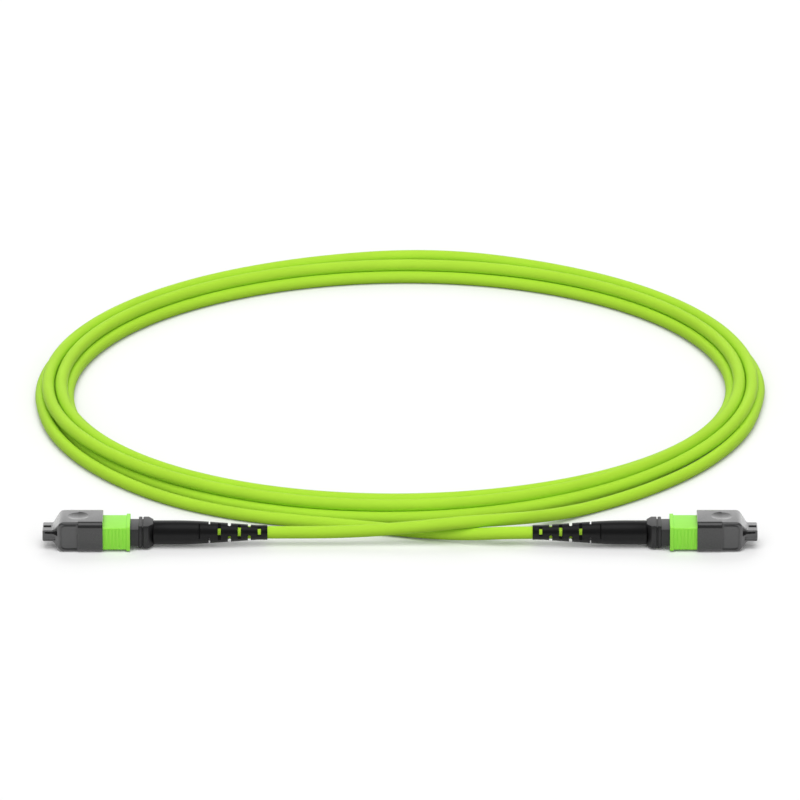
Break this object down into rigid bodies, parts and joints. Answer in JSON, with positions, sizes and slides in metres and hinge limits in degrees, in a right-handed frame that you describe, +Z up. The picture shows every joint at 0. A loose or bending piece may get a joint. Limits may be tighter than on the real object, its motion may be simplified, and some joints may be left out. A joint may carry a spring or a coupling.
{
  "type": "multi-fibre patch lead with push-on connectors",
  "caption": "Coiled lime fibre patch lead with a push-on multi-fibre connector under a dust cap on each end; sleeves and ferrules slide on springs.",
  "frame": {"origin": "bottom centre of the two connectors, on the surface that the lead lies on, midway between them", "axes": "+X along the connectors to the right-hand plug, +Y back to the coil, +Z up"},
  "size_m": [0.2487, 0.2724, 0.0105],
  "materials": {
    "cable_green": "satin extruded jacket",
    "sleeve_green": "satin moulded",
    "cap_grey": "satin moulded",
    "housing_black": "satin moulded",
    "boot_rubber": "semi-matt elastomer",
    "ferrule_resin": "filled resin, polished face",
    "clamp_resin": "moulded",
    "fibre_boot_rubber": "soft rubber",
    "fibre_coating": "clear coated ribbon",
    "spring_steel": "bright drawn wire",
    "crimp_metal": "nickel plated"
  },
  "bodies": {
    "lead": {"inner_housing_left": "housing_black", "rear_body_left": "housing_black", "crimp_ring_left": "crimp_metal", "strain_relief_boot_left": "boot_rubber", "fibre_ribbon_left": "fibre_coating", "ferrule_spring_left": "spring_steel", "sleeve_springs_left": "spring_steel", "cable_lead_left": "cable_green", "inner_housing_right": "housing_black", "rear_body_right": "housing_black", "crimp_ring_right": "crimp_metal", "strain_relief_boot_right": "boot_rubber", "fibre_ribbon_right": "fibre_coating", "ferrule_spring_right": "spring_steel", "sleeve_springs_right": "spring_steel", "cable_lead_right": "cable_green", "cable_coil": "cable_green"},
    "cap_left": {"dust_cap_left": "cap_grey"},
    "sleeve_left": {"coupling_sleeve_left": "sleeve_green"},
    "ferrule_group_left": {"ferrule_left": "ferrule_resin", "pin_clamp_left": "clamp_resin", "ferrule_boot_left": "fibre_boot_rubber"},
    "cap_right": {"dust_cap_right": "cap_grey"},
    "sleeve_right": {"coupling_sleeve_right": "sleeve_green"},
    "ferrule_group_right": {"ferrule_right": "ferrule_resin", "pin_clamp_right": "clamp_resin", "ferrule_boot_right": "fibre_boot_rubber"}
  },
  "joints": [
    {"name": "cap_pull_left", "type": "slide", "parent": "lead", "child": "cap_left", "axis": [-1, 0, 0], "range_m": [0, 0.016]},
    {"name": "sleeve_slide_left", "type": "slide", "parent": "lead", "child": "sleeve_left", "axis": [1, 0, 0], "range_m": [0, 0.0024], "stiffness_N_per_m": 500, "deforming": ["sleeve_springs_left"]},
    {"name": "ferrule_slide_left", "type": "slide", "parent": "lead", "child": "ferrule_group_left", "axis": [1, 0, 0], "range_m": [0, 0.0012], "stiffness_N_per_m": 3000, "deforming": ["ferrule_spring_left", "fibre_ribbon_left"]},
    {"name": "cap_pull_right", "type": "slide", "parent": "lead", "child": "cap_right", "axis": [1, 0, 0], "range_m": [0, 0.016]},
    {"name": "sleeve_slide_right", "type": "slide", "parent": "lead", "child": "sleeve_right", "axis": [-1, 0, 0], "range_m": [0, 0.0024], "stiffness_N_per_m": 500, "deforming": ["sleeve_springs_right"]},
    {"name": "ferrule_slide_right", "type": "slide", "parent": "lead", "child": "ferrule_group_right", "axis": [-1, 0, 0], "range_m": [0, 0.0012], "stiffness_N_per_m": 3000, "deforming": ["ferrule_spring_right", "fibre_ribbon_right"]}
  ]
}
